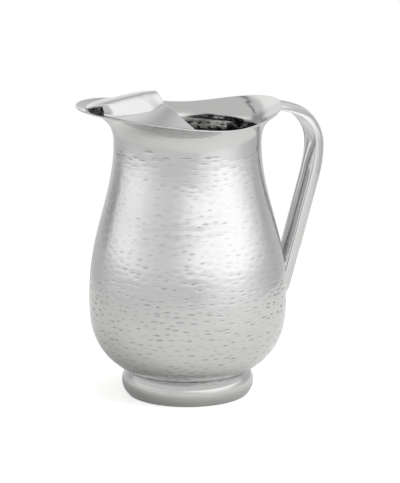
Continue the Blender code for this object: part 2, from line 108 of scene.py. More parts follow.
@dataclass(frozen=True)
class SteelFinish:
    """One finish of stainless steel.

    Attributes:
        name: Name of the material, for the steel and how its surface was made.
        tint: sRGB colour of the bare metal seen straight on.
        roughness: Mean roughness; polished steel is about 0.05 to 0.2, satin and brushed steel 0.3 or more.
        haze: How far the roughness swings where the wheel left the metal a little duller.
        line_mm: Spacing of the buffing lines in millimetres, as coarse as it needs to show.
        line_lift_mm: Height of the buffing lines in millimetres.
        grain: Which way the lines run.
        recess_shade: Strength of the painted shade at the bottom of a hammer mark, where the colour darkens.
        slimness: Spacing of the buffing lines as a share of their length.
        cloud_mm: Width of the haze's clouds in millimetres.
        hazed_tone: Share of the tint that is left where the haze is thickest.
        recess_shade_tone: Share of the tint that is left at the bottom of the deepest mark, as painted shade.
    """

    name: str
    tint: str
    roughness: float
    haze: float
    line_mm: float
    line_lift_mm: float
    grain: Grain
    recess_shade: float = 0.0
    slimness: float = 0.03
    cloud_mm: float = 22.0
    hazed_tone: float = 0.94
    recess_shade_tone: float = 0.2

    def material(self) -> bpy.types.Material:
        """Make the material.

        Buffing lines are noise squeezed across the wheel's path: on round pieces across Z, on the handle
        across its length, read from the piece's UV map in metres. A slow cloud of noise is the haze.

        Returns:
            The finished material.
        """
        mat = bpy.data.materials.new(self.name)
        mat.use_nodes = True
        tree = mat.node_tree
        shader = tree.nodes["Principled BSDF"]
        shader.inputs["Metallic"].default_value = 1.0
        place = add_node(tree, "ShaderNodeTexCoord")
        line = 1.0 / (self.line_mm * MM)
        if self.grain is Grain.ROUND:
            source, squeeze = place.outputs["Object"], (line * self.slimness, line * self.slimness, line)
        else:
            source, squeeze = place.outputs["UV"], (line * self.slimness, line, 1.0)
        path = add_node(tree, "ShaderNodeMapping", {"Vector": source, "Scale": squeeze})
        lines = add_node(tree, "ShaderNodeTexNoise",
                         {"Vector": path.outputs[0], "Scale": 1.0, "Detail": 3.0, "Roughness": 0.6})
        cloud = add_node(tree, "ShaderNodeTexNoise",
                         {"Vector": place.outputs["Object"], "Detail": 2.0,
                          "Scale": 1.0 / (self.cloud_mm * MM)})
        rough = add_node(tree, "ShaderNodeMapRange",
                         {"Value": cloud.outputs["Fac"], "From Min": 0.3, "From Max": 0.7,
                          "To Min": self.roughness - self.haze, "To Max": self.roughness + self.haze})
        shade = [c * self.hazed_tone for c in linear(self.tint)[:3]] + [1.0]
        tone = add_node(tree, "ShaderNodeMix", {0: cloud.outputs["Fac"], 6: linear(self.tint), 7: shade},
                        data_type="RGBA")
        # Painted shade: the colour darkens towards the bottom of each hammer mark, standing in for the shade
        # in the hollow.
        if self.recess_shade:
            mark = add_node(tree, "ShaderNodeAttribute", attribute_name="recess_shade")
            depth = add_node(tree, "ShaderNodeMath", {0: mark.outputs["Fac"], 1: self.recess_shade},
                             operation="MULTIPLY")
            deep = [c * self.recess_shade_tone for c in linear(self.tint)[:3]] + [1.0]
            tone = add_node(tree, "ShaderNodeMix", {0: depth.outputs[0], 6: tone.outputs[2], 7: deep},
                            data_type="RGBA")
        lift = add_node(tree, "ShaderNodeBump",
                        {"Height": lines.outputs["Fac"], "Strength": 1.0, "Distance": self.line_lift_mm * MM})
        tree.links.new(tone.outputs[2], shader.inputs["Base Color"])
        tree.links.new(rough.outputs[0], shader.inputs["Roughness"])
        tree.links.new(lift.outputs[0], shader.inputs["Normal"])
        return mat


# Planished by hand and then buffed: bright, with each hammer mark catching its own piece of the room.
# The 0.5 is the strength of the painted shade at the bottom of each hammer mark.
HAMMERED = SteelFinish("hammered_stainless_steel", "#cacaca", 0.13, 0.03, 0.9, 0.002, Grain.ROUND, 0.5)
# The same steel, its tint a touch greyer inside as painted shade, so that the mouth looks deep.
HAMMERED_SHADED_INSIDE = SteelFinish("hammered_stainless_steel_shaded_inside", "#c5c5c4", 0.12, 0.03, 0.9, 0.002,
                              Grain.ROUND)
# The wheel hardly reaches the bottom of the jug: satin, which lets a little light into the dark; greyer tint
# as painted shade.
SATIN_SHADED_INSIDE = SteelFinish("satin_stainless_steel_shaded_inside", "#c5c5c4", 0.30, 0.04, 0.9, 0.002, Grain.ROUND)
# Spun and colour-buffed: near mirror, with faint rings.
SPUN = SteelFinish("spun_polished_stainless_steel", "#c8c8c7", 0.10, 0.02, 0.7, 0.001, Grain.ROUND)
# Pressed and colour-buffed: near mirror.
PRESSED = SteelFinish("pressed_polished_stainless_steel", "#cbcbcb", 0.08, 0.02, 0.7, 0.001, Grain.ROUND)
# Pressed, welded and linished lengthways: near mirror with fine lines that follow the handle.
LINISHED = SteelFinish("linished_polished_stainless_steel", "#cbcbcb", 0.07, 0.02, 0.5, 0.001, Grain.ALONG)
# Polished in the flat before it goes in: a near-mirror sheet facing the body.
# Its tint is raised above the other steel as painted light, which makes it the brightest sheet.
POLISHED_PLATE_PAINTED_BRIGHT = SteelFinish("mirror_polished_stainless_steel_painted_bright", "#d8d8d8", 0.06, 0.02, 0.5, 0.001,
                             Grain.ALONG)
# Weld metal that is only brushed clean: dull and grey.
WELD = SteelFinish("brushed_weld_steel", "#aaa9a7", 0.36, 0.05, 0.5, 0.006, Grain.ROUND)


# Mesh helpers

class Ends(Enum):
    """How the two ends of a grid of rows are closed."""

    RING = "last row joins the first"
    POLES = "each end row gathers into a point"
    ZIPPED = "each end loop is zipped shut across its thickness"


def grid_quads(rows: int, cols: int, ring: bool) -> Array:
    """Corner numbers of the quads of a grid whose columns close into a loop.

    Args:
        rows: Number of rows.
        cols: Number of points in each row.
        ring: Whether the last row joins the first.

    Returns:
        One row of four vertex numbers per quad.
    """
    top = rows if ring else rows - 1
    i, j = np.meshgrid(np.arange(top), np.arange(cols), indexing="ij")
    nxt, right = (i + 1) % rows, (j + 1) % cols
    return np.stack([i * cols + j, i * cols + right, nxt * cols + right, nxt * cols + j], -1).reshape(-1, 4)


def make_piece(name: str, grid: Array, ends: Ends, finish: SteelFinish, nodes: tuple[str, ...],
               uv: Optional[Array] = None, recess_shade: Optional[Array] = None) -> bpy.types.Object:
    """Put a grid of points into a mesh, close it, face it outwards and hang it on the frame.

    Args:
        name: Name of the piece.
        grid: Points as rows by columns by 3; each row is a closed loop.
        ends: How the first and last rows are closed.
        finish: Finish of the piece.
        nodes: CAD nodes that the piece stands for.
        uv: Distances along and across the piece in metres, as rows by columns by 2.
        recess_shade: How deep in a hammer mark each point of the first rows lies, 0 to 1, as rows by columns.

    Returns:
        The new object.
    """
    rows, cols = grid.shape[:2]
    points = grid.reshape(-1, 3)
    quads = grid_quads(rows, cols, ends is Ends.RING)
    tris = np.zeros((0, 3), int)
    if ends is Ends.POLES:
        first, last = len(points), len(points) + 1
        points = np.concatenate([points, grid[0].mean(0)[None], grid[-1].mean(0)[None]])
        j = np.arange(cols)
        k = (j + 1) % cols
        low = np.stack([np.full(cols, first), k, j], -1)
        high = np.stack([np.full(cols, last), (rows - 1) * cols + j, (rows - 1) * cols + k], -1)
        tris = np.concatenate([low, high])
    elif ends is Ends.ZIPPED:
        k = np.arange(cols // 2 - 1)
        near = np.stack([k, cols - 1 - k, cols - 2 - k, k + 1], -1)
        far = near[:, ::-1] + (rows - 1) * cols
        quads = np.concatenate([quads, near, far])
    fan = np.concatenate([quads[:, [0, 1, 2]], quads[:, [0, 2, 3]], tris])
    a, b, c = (points[fan[:, k]] for k in range(3))
    if np.einsum("ij,ij->i", a, np.cross(b, c)).sum() < 0.0:
        quads, tris = quads[:, ::-1], tris[:, ::-1]
    mesh = bpy.data.meshes.new(name)
    corners = np.concatenate([quads.ravel(), tris.ravel()]).astype(np.int32)
    sizes = np.concatenate([np.full(len(quads), 4), np.full(len(tris), 3)]).astype(np.int32)
    mesh.vertices.add(len(points))
    mesh.vertices.foreach_set("co", points.astype(np.float32).ravel())
    mesh.loops.add(len(corners))
    mesh.loops.foreach_set("vertex_index", corners)
    mesh.polygons.add(len(sizes))
    mesh.polygons.foreach_set("loop_start", (np.cumsum(sizes) - sizes).astype(np.int32))
    mesh.polygons.foreach_set("loop_total", sizes)
    mesh.update(calc_edges=True)
    mesh.validate()
    if uv is not None:
        layer = mesh.uv_layers.new(name="sheet")
        layer.data.foreach_set("uv", uv.reshape(-1, 2)[corners].astype(np.float32).ravel())
    # Each point's depth in its hammer mark is kept here, and the material darkens the colour by it as painted
    # shade.
    if recess_shade is not None:
        share = np.zeros(len(points), np.float32)
        share[:recess_shade.size] = recess_shade.ravel()
        mesh.attributes.new("recess_shade", "FLOAT", "POINT").data.foreach_set("value", share)
    mesh.shade_smooth()
    mesh.set_sharp_from_angle(angle=math.radians(50.0))
    mesh.materials.append(dressed(finish))
    ob = bpy.data.objects.new(name, mesh)
    bpy.context.scene.collection.objects.link(ob)
    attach(ob, "root")
    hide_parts(*nodes)
    LOG.info("%s: %d triangles", name, 2 * len(quads) + len(tris))
    return ob


def dressed(finish: SteelFinish) -> bpy.types.Material:
    """The material of a finish, made once."""
    return bpy.data.materials.get(finish.name) or finish.material()


def unit(v: Array) -> Array:
    """Vectors scaled to length 1."""
    return v / np.maximum(np.linalg.norm(v, axis=-1, keepdims=True), 1e-12)


def eased(t: Array) -> Array:
    """Shares from 0 to 1 that start and end gently: three squares less two cubes."""
    t = np.clip(t, 0.0, 1.0)
    return t * t * (3.0 - 2.0 * t)


def shuffle(*keys: Array) -> Array:
    """Steady numbers between 0 and 1 that look random, from whole-number keys.

    The keys are mixed by multiplying with large odd numbers and folding the high bits down.
    """
    mixed = np.zeros(np.broadcast(*keys).shape, np.uint64)
    for key, odd in zip(keys, (0x9E3779B97F4A7C15, 0xC2B2AE3D27D4EB4F, 0x165667B19E3779F9)):
        mixed = (mixed ^ (key.astype(np.int64).astype(np.uint64) + np.uint64(77))) * np.uint64(odd)
        mixed ^= mixed >> np.uint64(29)
    return (mixed >> np.uint64(11)).astype(float) / float(1 << 53)


# Sub-assemblies

class Face(Enum):
    """A face of the body's sheet."""

    OUTER = "outer"
    INNER = "inner"


@dataclass
class BodyShell:
    """Drawn body: bowl, shoulder, neck and trumpet mouth, hammered up to the neck.

    The meridian runs with m: 0 to 1 up the bowl, to 2 up the shoulder, to 3 up the flare.
    """

    axis_x: float
    wall: float = 1.0 * MM
    lift: float = 9.1 * MM
    belly_radius: float = 72.9 * MM
    bowl_depth: float = 65.9 * MM
    bowl_power: float = 3.02
    shoulder_height: float = 113.0 * MM
    shoulder_ease: float = 1.06
    neck_radius: float = 54.2 * MM
    flare_power: float = 3.0
    lip_curl: float = 0.5
    curl_spread: float = math.radians(52.0)
    rim_flare_mm: tuple[float, ...] = (16.8, 11.2, 5.1, 12.2, 22.9, 29.7)
    rim_rise_mm: tuple[float, ...] = (27.5, 23.0, 19.0, 22.8, 28.2, 30.2)
    blow_pitch: float = 4.3 * MM
    blow_width: float = 7.6 * MM
    facet_depth: float = 0.065 * MM
    inner_swell: float = 1.6
    bite_half: float = 3.1 * MM
    bite_rise: float = 0.78 * MM
    bite_depth: float = 0.24 * MM
    hard_blow: float = 1.6
    light_blow: float = 0.35
    hard_to: float = 0.42
    light_from: float = 0.64
    ragged_rows: float = 1.6
    thinned_rows: float = 1.2
    hammered_from: float = 0.30
    hammered_to: float = 2.15
    hammered_inside_to: float = 2.20
    pole_radius: float = 4.0 * MM
    outer_bands: tuple[float, float] = (0.90, 1.50)
    inner_band: float = 1.30
    outer_spacing: float = 0.40 * MM
    inner_spacing: float = 0.50 * MM
    deep_spacing: float = 0.90 * MM
    plain_spacing: float = 1.8 * MM
    lining_spacing: float = 6.0 * MM
    lining_share: float = 0.45
    around: int = 380
    arc: tuple[Array, Array] = field(init=False)

    def __post_init__(self) -> None:
        """Work out the rim's cosine series and the length of the meridian."""
        self.belly_z = self.lift + self.bowl_depth
        self.neck_z = self.belly_z + self.shoulder_height
        self.flare_series = self.cosine_series(self.rim_flare_mm)
        self.rise_series = self.cosine_series(self.rim_rise_mm)
        m = np.linspace(0.0, 3.0, 6001)
        line = self.outer(m, np.full_like(m, 0.5 * math.pi))
        run = np.concatenate([[0.0], np.cumsum(np.linalg.norm(np.diff(line, axis=0), axis=1))])
        self.arc = (m, run)

    @staticmethod
    def cosine_series(values_mm: tuple[float, ...]) -> Array:
        """Coefficients, in metres, of the cosine series through values at equal bearings from 0 to pi."""
        count = len(values_mm)
        basis = np.cos(np.outer(np.linspace(0.0, math.pi, count), np.arange(count)))
        return np.linalg.solve(basis, np.array(values_mm)) * MM

    @staticmethod
    def series_at(series: Array, phi: Array) -> Array:
        """Value of a cosine series at bearings phi."""
        return sum(c * np.cos(k * phi) for k, c in enumerate(series))

    def flare_height(self, climb: Array, phi: Array) -> Array:
        """Height above the neck at a share of the climb to the rim; the spout's lip curls over at the end."""
        from_spout = np.abs((phi % (2.0 * math.pi)) - math.pi)
        curl = self.lip_curl * np.exp(-(from_spout / self.curl_spread) ** 4)
        return self.series_at(self.rise_series, phi) * (climb + curl * climb ** 4 * (1.0 - climb))

    def outer(self, m: Array, phi: Array) -> Array:
        """Point on the smooth outside.

        Bowl: radius follows a sine and height a cosine raised to 2 over the bowl's power. Shoulder: half a
        cosine wave from belly to neck. Flare: height rises evenly and the reach grows with its cube, both up
        to the wavy rim, and the lip of the spout curls over.

        Args:
            m: Place along the meridian, 0 to 3.
            phi: Bearing from the handle, in radians.

        Returns:
            Points about the body's own axis, with a last axis of 3.
        """
        m, phi = np.broadcast_arrays(np.asarray(m, float), np.asarray(phi, float))
        turn = 0.5 * math.pi * np.clip(m, 0.0, 1.0)
        bowl_z = self.belly_z - self.bowl_depth * np.clip(np.cos(turn), 0.0, 1.0) ** (2.0 / self.bowl_power)
        up = np.clip(m - 1.0, 0.0, 1.0)
        wave = 0.5 * (1.0 + np.cos(math.pi * up ** self.shoulder_ease))
        side_r = self.neck_radius + (self.belly_radius - self.neck_radius) * wave
        climb = np.clip(m - 2.0, 0.0, 1.0)
        flare_r = self.neck_radius + self.series_at(self.flare_series, phi) * climb ** self.flare_power
        flare_z = self.neck_z + self.flare_height(climb, phi)
        r = np.where(m <= 1.0, self.belly_radius * np.sin(turn), np.where(m <= 2.0, side_r, flare_r))
        z = np.where(m <= 1.0, bowl_z, np.where(m <= 2.0, self.belly_z + self.shoulder_height * up, flare_z))
        return np.stack([r * np.cos(phi), r * np.sin(phi), z], -1)

    def frame_at(self, m: Array, phi: Array) -> tuple[Array, Array, Array]:
        """Point, outward normal and upward tangent of the smooth outside."""
        step = 1e-4
        m, phi = np.broadcast_arrays(np.asarray(m, float), np.asarray(phi, float))
        low, high = np.maximum(m - step, 1e-3), np.minimum(m + step, 3.0)
        along = unit(self.outer(high, phi) - self.outer(low, phi))
        around = unit(self.outer(m, phi + step) - self.outer(m, phi - step))
        return self.outer(m, phi), unit(np.cross(around, along)), along

    def hammer_marks(self, m: Array, phi: Array, top: float, swell: float,
                     drag: float) -> tuple[Array, Array]:
        """Depth of the hammer marks below the smooth face: the wide facets, and the bites in them.

        Blows lie in level rows. Each leaves a wide, very shallow facet, a paraboloid, and in its middle a
        short level bite, a squared paraboloid. Place, size and depth of each are shuffled a little; where
        facets meet, the deeper one wins and leaves a soft ridge. Bites are hard low on the body and light
        on the shoulder. In the last rows, which thin out at the top edge, they are longer and ragged.

        Args:
            m: Place along the meridian.
            phi: Bearing, in radians.
            top: Place along the meridian where the marks end.
            swell: How much larger the bites come out than on the struck side; facets swell by its cube.
            drag: How far the bites of the last rows are drawn out, 0 to 1.

        Returns:
            Depth of the facets and depth of the bites, in metres.
        """
        run = np.interp(m, *self.arc)
        first, last = (np.interp(k, *self.arc) for k in (self.hammered_from, top))
        row = np.floor((run - first) / self.blow_pitch)
        facet, bite = np.zeros_like(run), np.zeros_like(run)
        for dk in (-1, 0, 1):
            k = row + dk
            middle = first + (k + 0.5) * self.blow_pitch
            belt = self.outer(np.interp(middle, self.arc[1], self.arc[0]), 0.0)
            girth = 2.0 * math.pi * np.hypot(belt[..., 0], belt[..., 1])
            count = np.maximum(np.round(girth / self.blow_width), 3.0)
            turn = (phi / (2.0 * math.pi)) % 1.0 * count + 7.0 * shuffle(k, 3 * k + 1)
            rough = np.exp(-np.clip(last - middle, 0.0, None) / (self.ragged_rows * self.blow_pitch))
            climb = (middle - first) / (last - first)
            easing = eased((climb - self.hard_to) / (self.light_from - self.hard_to))
            force = self.hard_blow + (self.light_blow - self.hard_blow) * easing
            for dj in (-1, 0, 1):
                seat = np.floor(turn) + dj
                luck = [shuffle(k, seat % count, np.full_like(k, n)) for n in range(6)]
                across = (turn - seat - 0.5 - 0.5 * (luck[0] - 0.5)) * girth / count
                upright = run - middle - 0.85 * (luck[1] - 0.5) * self.blow_pitch
                struck = (luck[2] < (last - middle) / (self.thinned_rows * self.blow_pitch)) & (k >= 0)
                wide = (across / (0.75 * self.blow_width)) ** 2 + (upright / (0.78 * self.blow_pitch)) ** 2
                dish = swell ** 3 * self.facet_depth * (0.5 + luck[3]) * np.clip(1.0 - wide, 0.0, 1.0)
                long = self.bite_half * (0.7 + 0.6 * luck[4] + 1.2 * drag * rough * luck[5])
                high = swell * self.bite_rise * (0.75 + 0.5 * luck[3] + 0.6 * drag * rough * luck[5])
                near = (across / long) ** 2 + (upright / high) ** 2
                blow = force * (0.25 + 0.95 * luck[5] ** 2) + rough * (0.3 + 1.3 * luck[5])
                notch = swell * self.bite_depth * blow * np.clip(1.0 - near, 0.0, 1.0) ** 2
                facet = np.maximum(facet, np.where(struck, dish, 0.0))
                bite = np.maximum(bite, np.where(struck, notch, 0.0))
        return facet, bite

    def sheet(self, m: Array, phi: Array, inset: Any) -> Array:
        """Face of the sheet a given inset below the smooth outside."""
        point, normal, _ = self.frame_at(m, phi)
        return point - np.asarray(inset)[..., None] * normal

    def meridian(self, start: float, stop: float, spacing: float) -> Array:
        """Places along the meridian from start to stop, about a spacing apart on the sheet."""
        low, high = np.interp(start, *self.arc), np.interp(stop, *self.arc)
        run = np.linspace(low, high, max(2, round(abs(high - low) / spacing) + 1))
        return np.interp(run, self.arc[1], self.arc[0])

    def rim(self, phi: Array, turns: Array) -> Array:
        """Rounded raw edge of the mouth: half a circle of half the sheet's thickness round its middle."""
        point, normal, along = self.frame_at(np.full_like(phi, 3.0), phi)
        radius = 0.5 * self.wall
        centre = point - radius * normal - radius * along
        turns = turns[:, None, None]
        return centre + radius * (np.cos(turns) * normal + np.sin(turns) * along)

    def band(self, name: str, start: float, stop: float, spacing: float, face: Face,
             finish: SteelFinish) -> bpy.types.Object:
        """Build one band of the sheet's outer or inner face, closed along the middle of its thickness.

        Args:
            name: Name of the piece.
            start: Place on the meridian where the band begins; 0 is the middle of the bowl.
            stop: Place where it ends; 3 is the rim, which is rounded over.
            spacing: Distance between rows where the sheet is hammered.
            face: Which face of the sheet.
            finish: Finish of the steel there.

        Returns:
            The new object.
        """
        phi = np.linspace(0.0, 2.0 * math.pi, self.around, endpoint=False)
        outside = face is Face.OUTER
        near, far = self.lining_share * self.wall, (1.0 - self.lining_share) * self.wall
        inset, core = (0.0, near) if outside else (self.wall, far)
        lowest = float(np.interp(self.pole_radius, self.arc[1], self.arc[0]))
        highest = float(np.interp(self.arc[1][-1] - far, self.arc[1], self.arc[0]))
        start, stop = max(start, lowest), min(stop, highest)
        outer_marks = (self.hammered_to, 1.0, 1.0)
        inner_marks = (self.hammered_inside_to, self.inner_swell, 0.0)
        top, swell, drag = outer_marks if outside else inner_marks
        cuts = [start] + [k for k in (self.hammered_from, top) if start < k < stop] + [stop]
        parts = []
        for low, high in zip(cuts[:-1], cuts[1:]):
            hammered = self.hammered_from <= low and high <= top
            parts.append(self.meridian(low, high, spacing if hammered else self.plain_spacing)[:-1])
        rows = np.concatenate(parts + [[stop]])
        places = np.meshgrid(rows, phi, indexing="ij")
        facet, bite = self.hammer_marks(*places, top, swell, drag)
        layers = [self.sheet(*places, inset + facet + bite)]
        if stop == highest:
            turns = math.pi * np.linspace(0.0 if outside else 1.0, 0.5, 6)
            layers.append(self.rim(phi, turns))
        lining = self.meridian(stop, start, self.lining_spacing)
        layers.append(self.sheet(*np.meshgrid(lining, phi, indexing="ij"), core))
        grid = np.concatenate(layers) + np.array([self.axis_x, 0.0, 0.0])
        ends = Ends.POLES if start == lowest else Ends.RING
        # The bites' depth goes with the piece, for the painted shade at the bottom of each hammer mark.
        return make_piece(name, grid, ends, finish, ("body_shell",),
                          recess_shade=np.clip(bite / self.bite_depth, 0.0, 1.0))

    def build(self) -> list[bpy.types.Object]:
        """Build the body as stacked bands of its two faces.

        Returns:
            The bands.
        """
        low, high = self.outer_bands
        return [self.band("body_outer_bowl", 0.0, low, self.outer_spacing, Face.OUTER, HAMMERED),
                self.band("body_outer_belly", low, high, self.outer_spacing, Face.OUTER, HAMMERED),
                self.band("body_outer_mouth", high, 3.0, self.outer_spacing, Face.OUTER, HAMMERED),
                self.band("body_inner_bowl", 0.0, self.inner_band, self.deep_spacing, Face.INNER,
                          SATIN_SHADED_INSIDE),
                self.band("body_inner_mouth", self.inner_band, 3.0, self.inner_spacing, Face.INNER,
                          HAMMERED_SHADED_INSIDE)]


@dataclass
class FootRing:
    """Pressed foot ring: a bulging band with a hem turned in, and the weld that holds it to the bowl."""

    body: BodyShell
    wall: float = 1.2 * MM
    bulge_radius: float = 48.7 * MM
    bulge_z: float = 9.8 * MM
    base_inset: float = 4.3 * MM
    base_power: float = 2.4
    top_inset: float = 3.7 * MM
    edge_round: float = 0.5 * MM
    hem: float = 3.0 * MM
    hem_round: float = 0.2 * MM
    bowl_gap: float = 0.15 * MM
    bead: float = 0.7 * MM
    bead_gap: float = 0.2 * MM
    around: int = 240

    def bowl_z(self, r: float) -> float:
        """Height of the bowl's underside at radius r."""
        b = self.body
        return b.belly_z - b.bowl_depth * (1.0 - (r / b.belly_radius) ** 2) ** (1.0 / b.bowl_power)

    def lines(self) -> tuple[Array, Array]:
        """Outer and inner section lines as (r, z).

        The radius falls from the bulge by a power curve below it and by a square above it, and the inner line
        lies one wall inside, square to the outer one.
        """
        top_z = self.bowl_z(self.bulge_radius - self.top_inset) - self.bowl_gap
        z = np.concatenate([np.linspace(self.edge_round, self.bulge_z, 18),
                            np.linspace(self.bulge_z, top_z, 16)[1:]])
        low = np.maximum((self.bulge_z - z) / self.bulge_z, 0.0)
        high = np.maximum((z - self.bulge_z) / (top_z - self.bulge_z), 0.0)
        r = self.bulge_radius - self.base_inset * low ** self.base_power - self.top_inset * high ** 2
        line = np.stack([r, z], -1)
        ahead = unit(np.gradient(line, axis=0))
        back = line + self.wall * np.stack([-ahead[:, 1], ahead[:, 0]], -1)
        back[:, 1] = np.minimum(back[:, 1], line[:, 1])
        back = back[back[:, 1] >= self.wall]
        return line, back

    def turned(self, section: Array, count: int) -> Array:
        """Carry a closed section of (r, z) points round the body's axis."""
        phi = np.linspace(0.0, 2.0 * math.pi, count, endpoint=False)[:, None]
        r, z = section[None, :, 0], section[None, :, 1]
        ring = np.stack([r * np.cos(phi), r * np.sin(phi), z + 0.0 * phi], -1)
        return ring + np.array([self.body.axis_x, 0.0, 0.0])

    def build(self) -> list[bpy.types.Object]:
        """Build the ring and its weld bead.

        Returns:
            The two pieces.
        """
        line, back = self.lines()
        stand = line[0, 0] - self.edge_round
        turn = np.linspace(-0.5, 0.0, 5)[:-1] * math.pi
        edge = np.stack([stand + self.edge_round * np.cos(turn), self.edge_round * (1.0 + np.sin(turn))], -1)
        hem_edge, cut = stand - self.hem, self.hem_round
        hem = np.array([[back[0, 0], self.wall], [hem_edge + cut, self.wall], [hem_edge, self.wall - cut],
                        [hem_edge, cut], [hem_edge + cut, 0.0]])
        section = np.concatenate([edge, line, back[::-1], hem])
        ring = make_piece("foot_ring_band", self.turned(section, self.around), Ends.RING, SPUN,
                          ("foot_ring",))
        centre = self.weld_centre(back)
        phi = np.linspace(0.0, 2.0 * math.pi, 720, endpoint=False)
        path = np.stack([self.body.axis_x + centre[0] * np.cos(phi), centre[0] * np.sin(phi),
                         np.full_like(phi, centre[1])], -1)
        weld = weld_bead("foot_ring_bead", path, self.bead, ("foot_ring_weld",), Ends.RING)
        return [ring, weld]

    def weld_centre(self, back: Array) -> Array:
        """Middle of the bead in the corner between bowl and ring, as (r, z)."""
        r = np.linspace(back[-1, 0], 0.8 * back[-1, 0], 400)
        slope = (self.bowl_z(r + 1e-5) - self.bowl_z(r - 1e-5)) / 2e-5
        keep = self.bead + self.bead_gap
        spots = np.stack([r, self.bowl_z(r) - keep * np.sqrt(1.0 + slope ** 2)], -1)
        room = np.linalg.norm(spots[:, None] - back[None], axis=-1).min(1)
        return spots[np.argmax(room >= keep)]


def weld_bead(name: str, path: Array, radius: float, nodes: tuple[str, ...], ends: Ends) -> bpy.types.Object:
    """Round bead along a path, laid in overlapping drops.

    A circle is carried along the path, and its radius swells and falls once every drop of 1.6 bead radii.

    Args:
        name: Name of the piece.
        path: Points along the bead, as n by 3.
        radius: Mean radius of the bead.
        nodes: CAD nodes that the bead stands for.
        ends: How the bead's ends close.

    Returns:
        The new object.
    """
    ring = ends is Ends.RING
    ahead = unit(np.roll(path, -1, 0) - np.roll(path, 1, 0)) if ring else unit(np.gradient(path, axis=0))
    side = unit(np.cross(ahead, np.array([0.0, 0.0, 1.0])))
    up = np.cross(side, ahead)
    run = np.concatenate([[0.0], np.cumsum(np.linalg.norm(np.diff(path, axis=0), axis=1))])
    drop = np.abs(np.sin(math.pi * run / (1.6 * radius)))
    size = radius * (0.86 + 0.14 * drop)[:, None, None]
    turn = np.linspace(0.0, 2.0 * math.pi, 12, endpoint=False)[None, :, None]
    tube = path[:, None] + size * (np.cos(turn) * side[:, None] + np.sin(turn) * up[:, None])
    return make_piece(name, tube, ends, WELD, nodes)


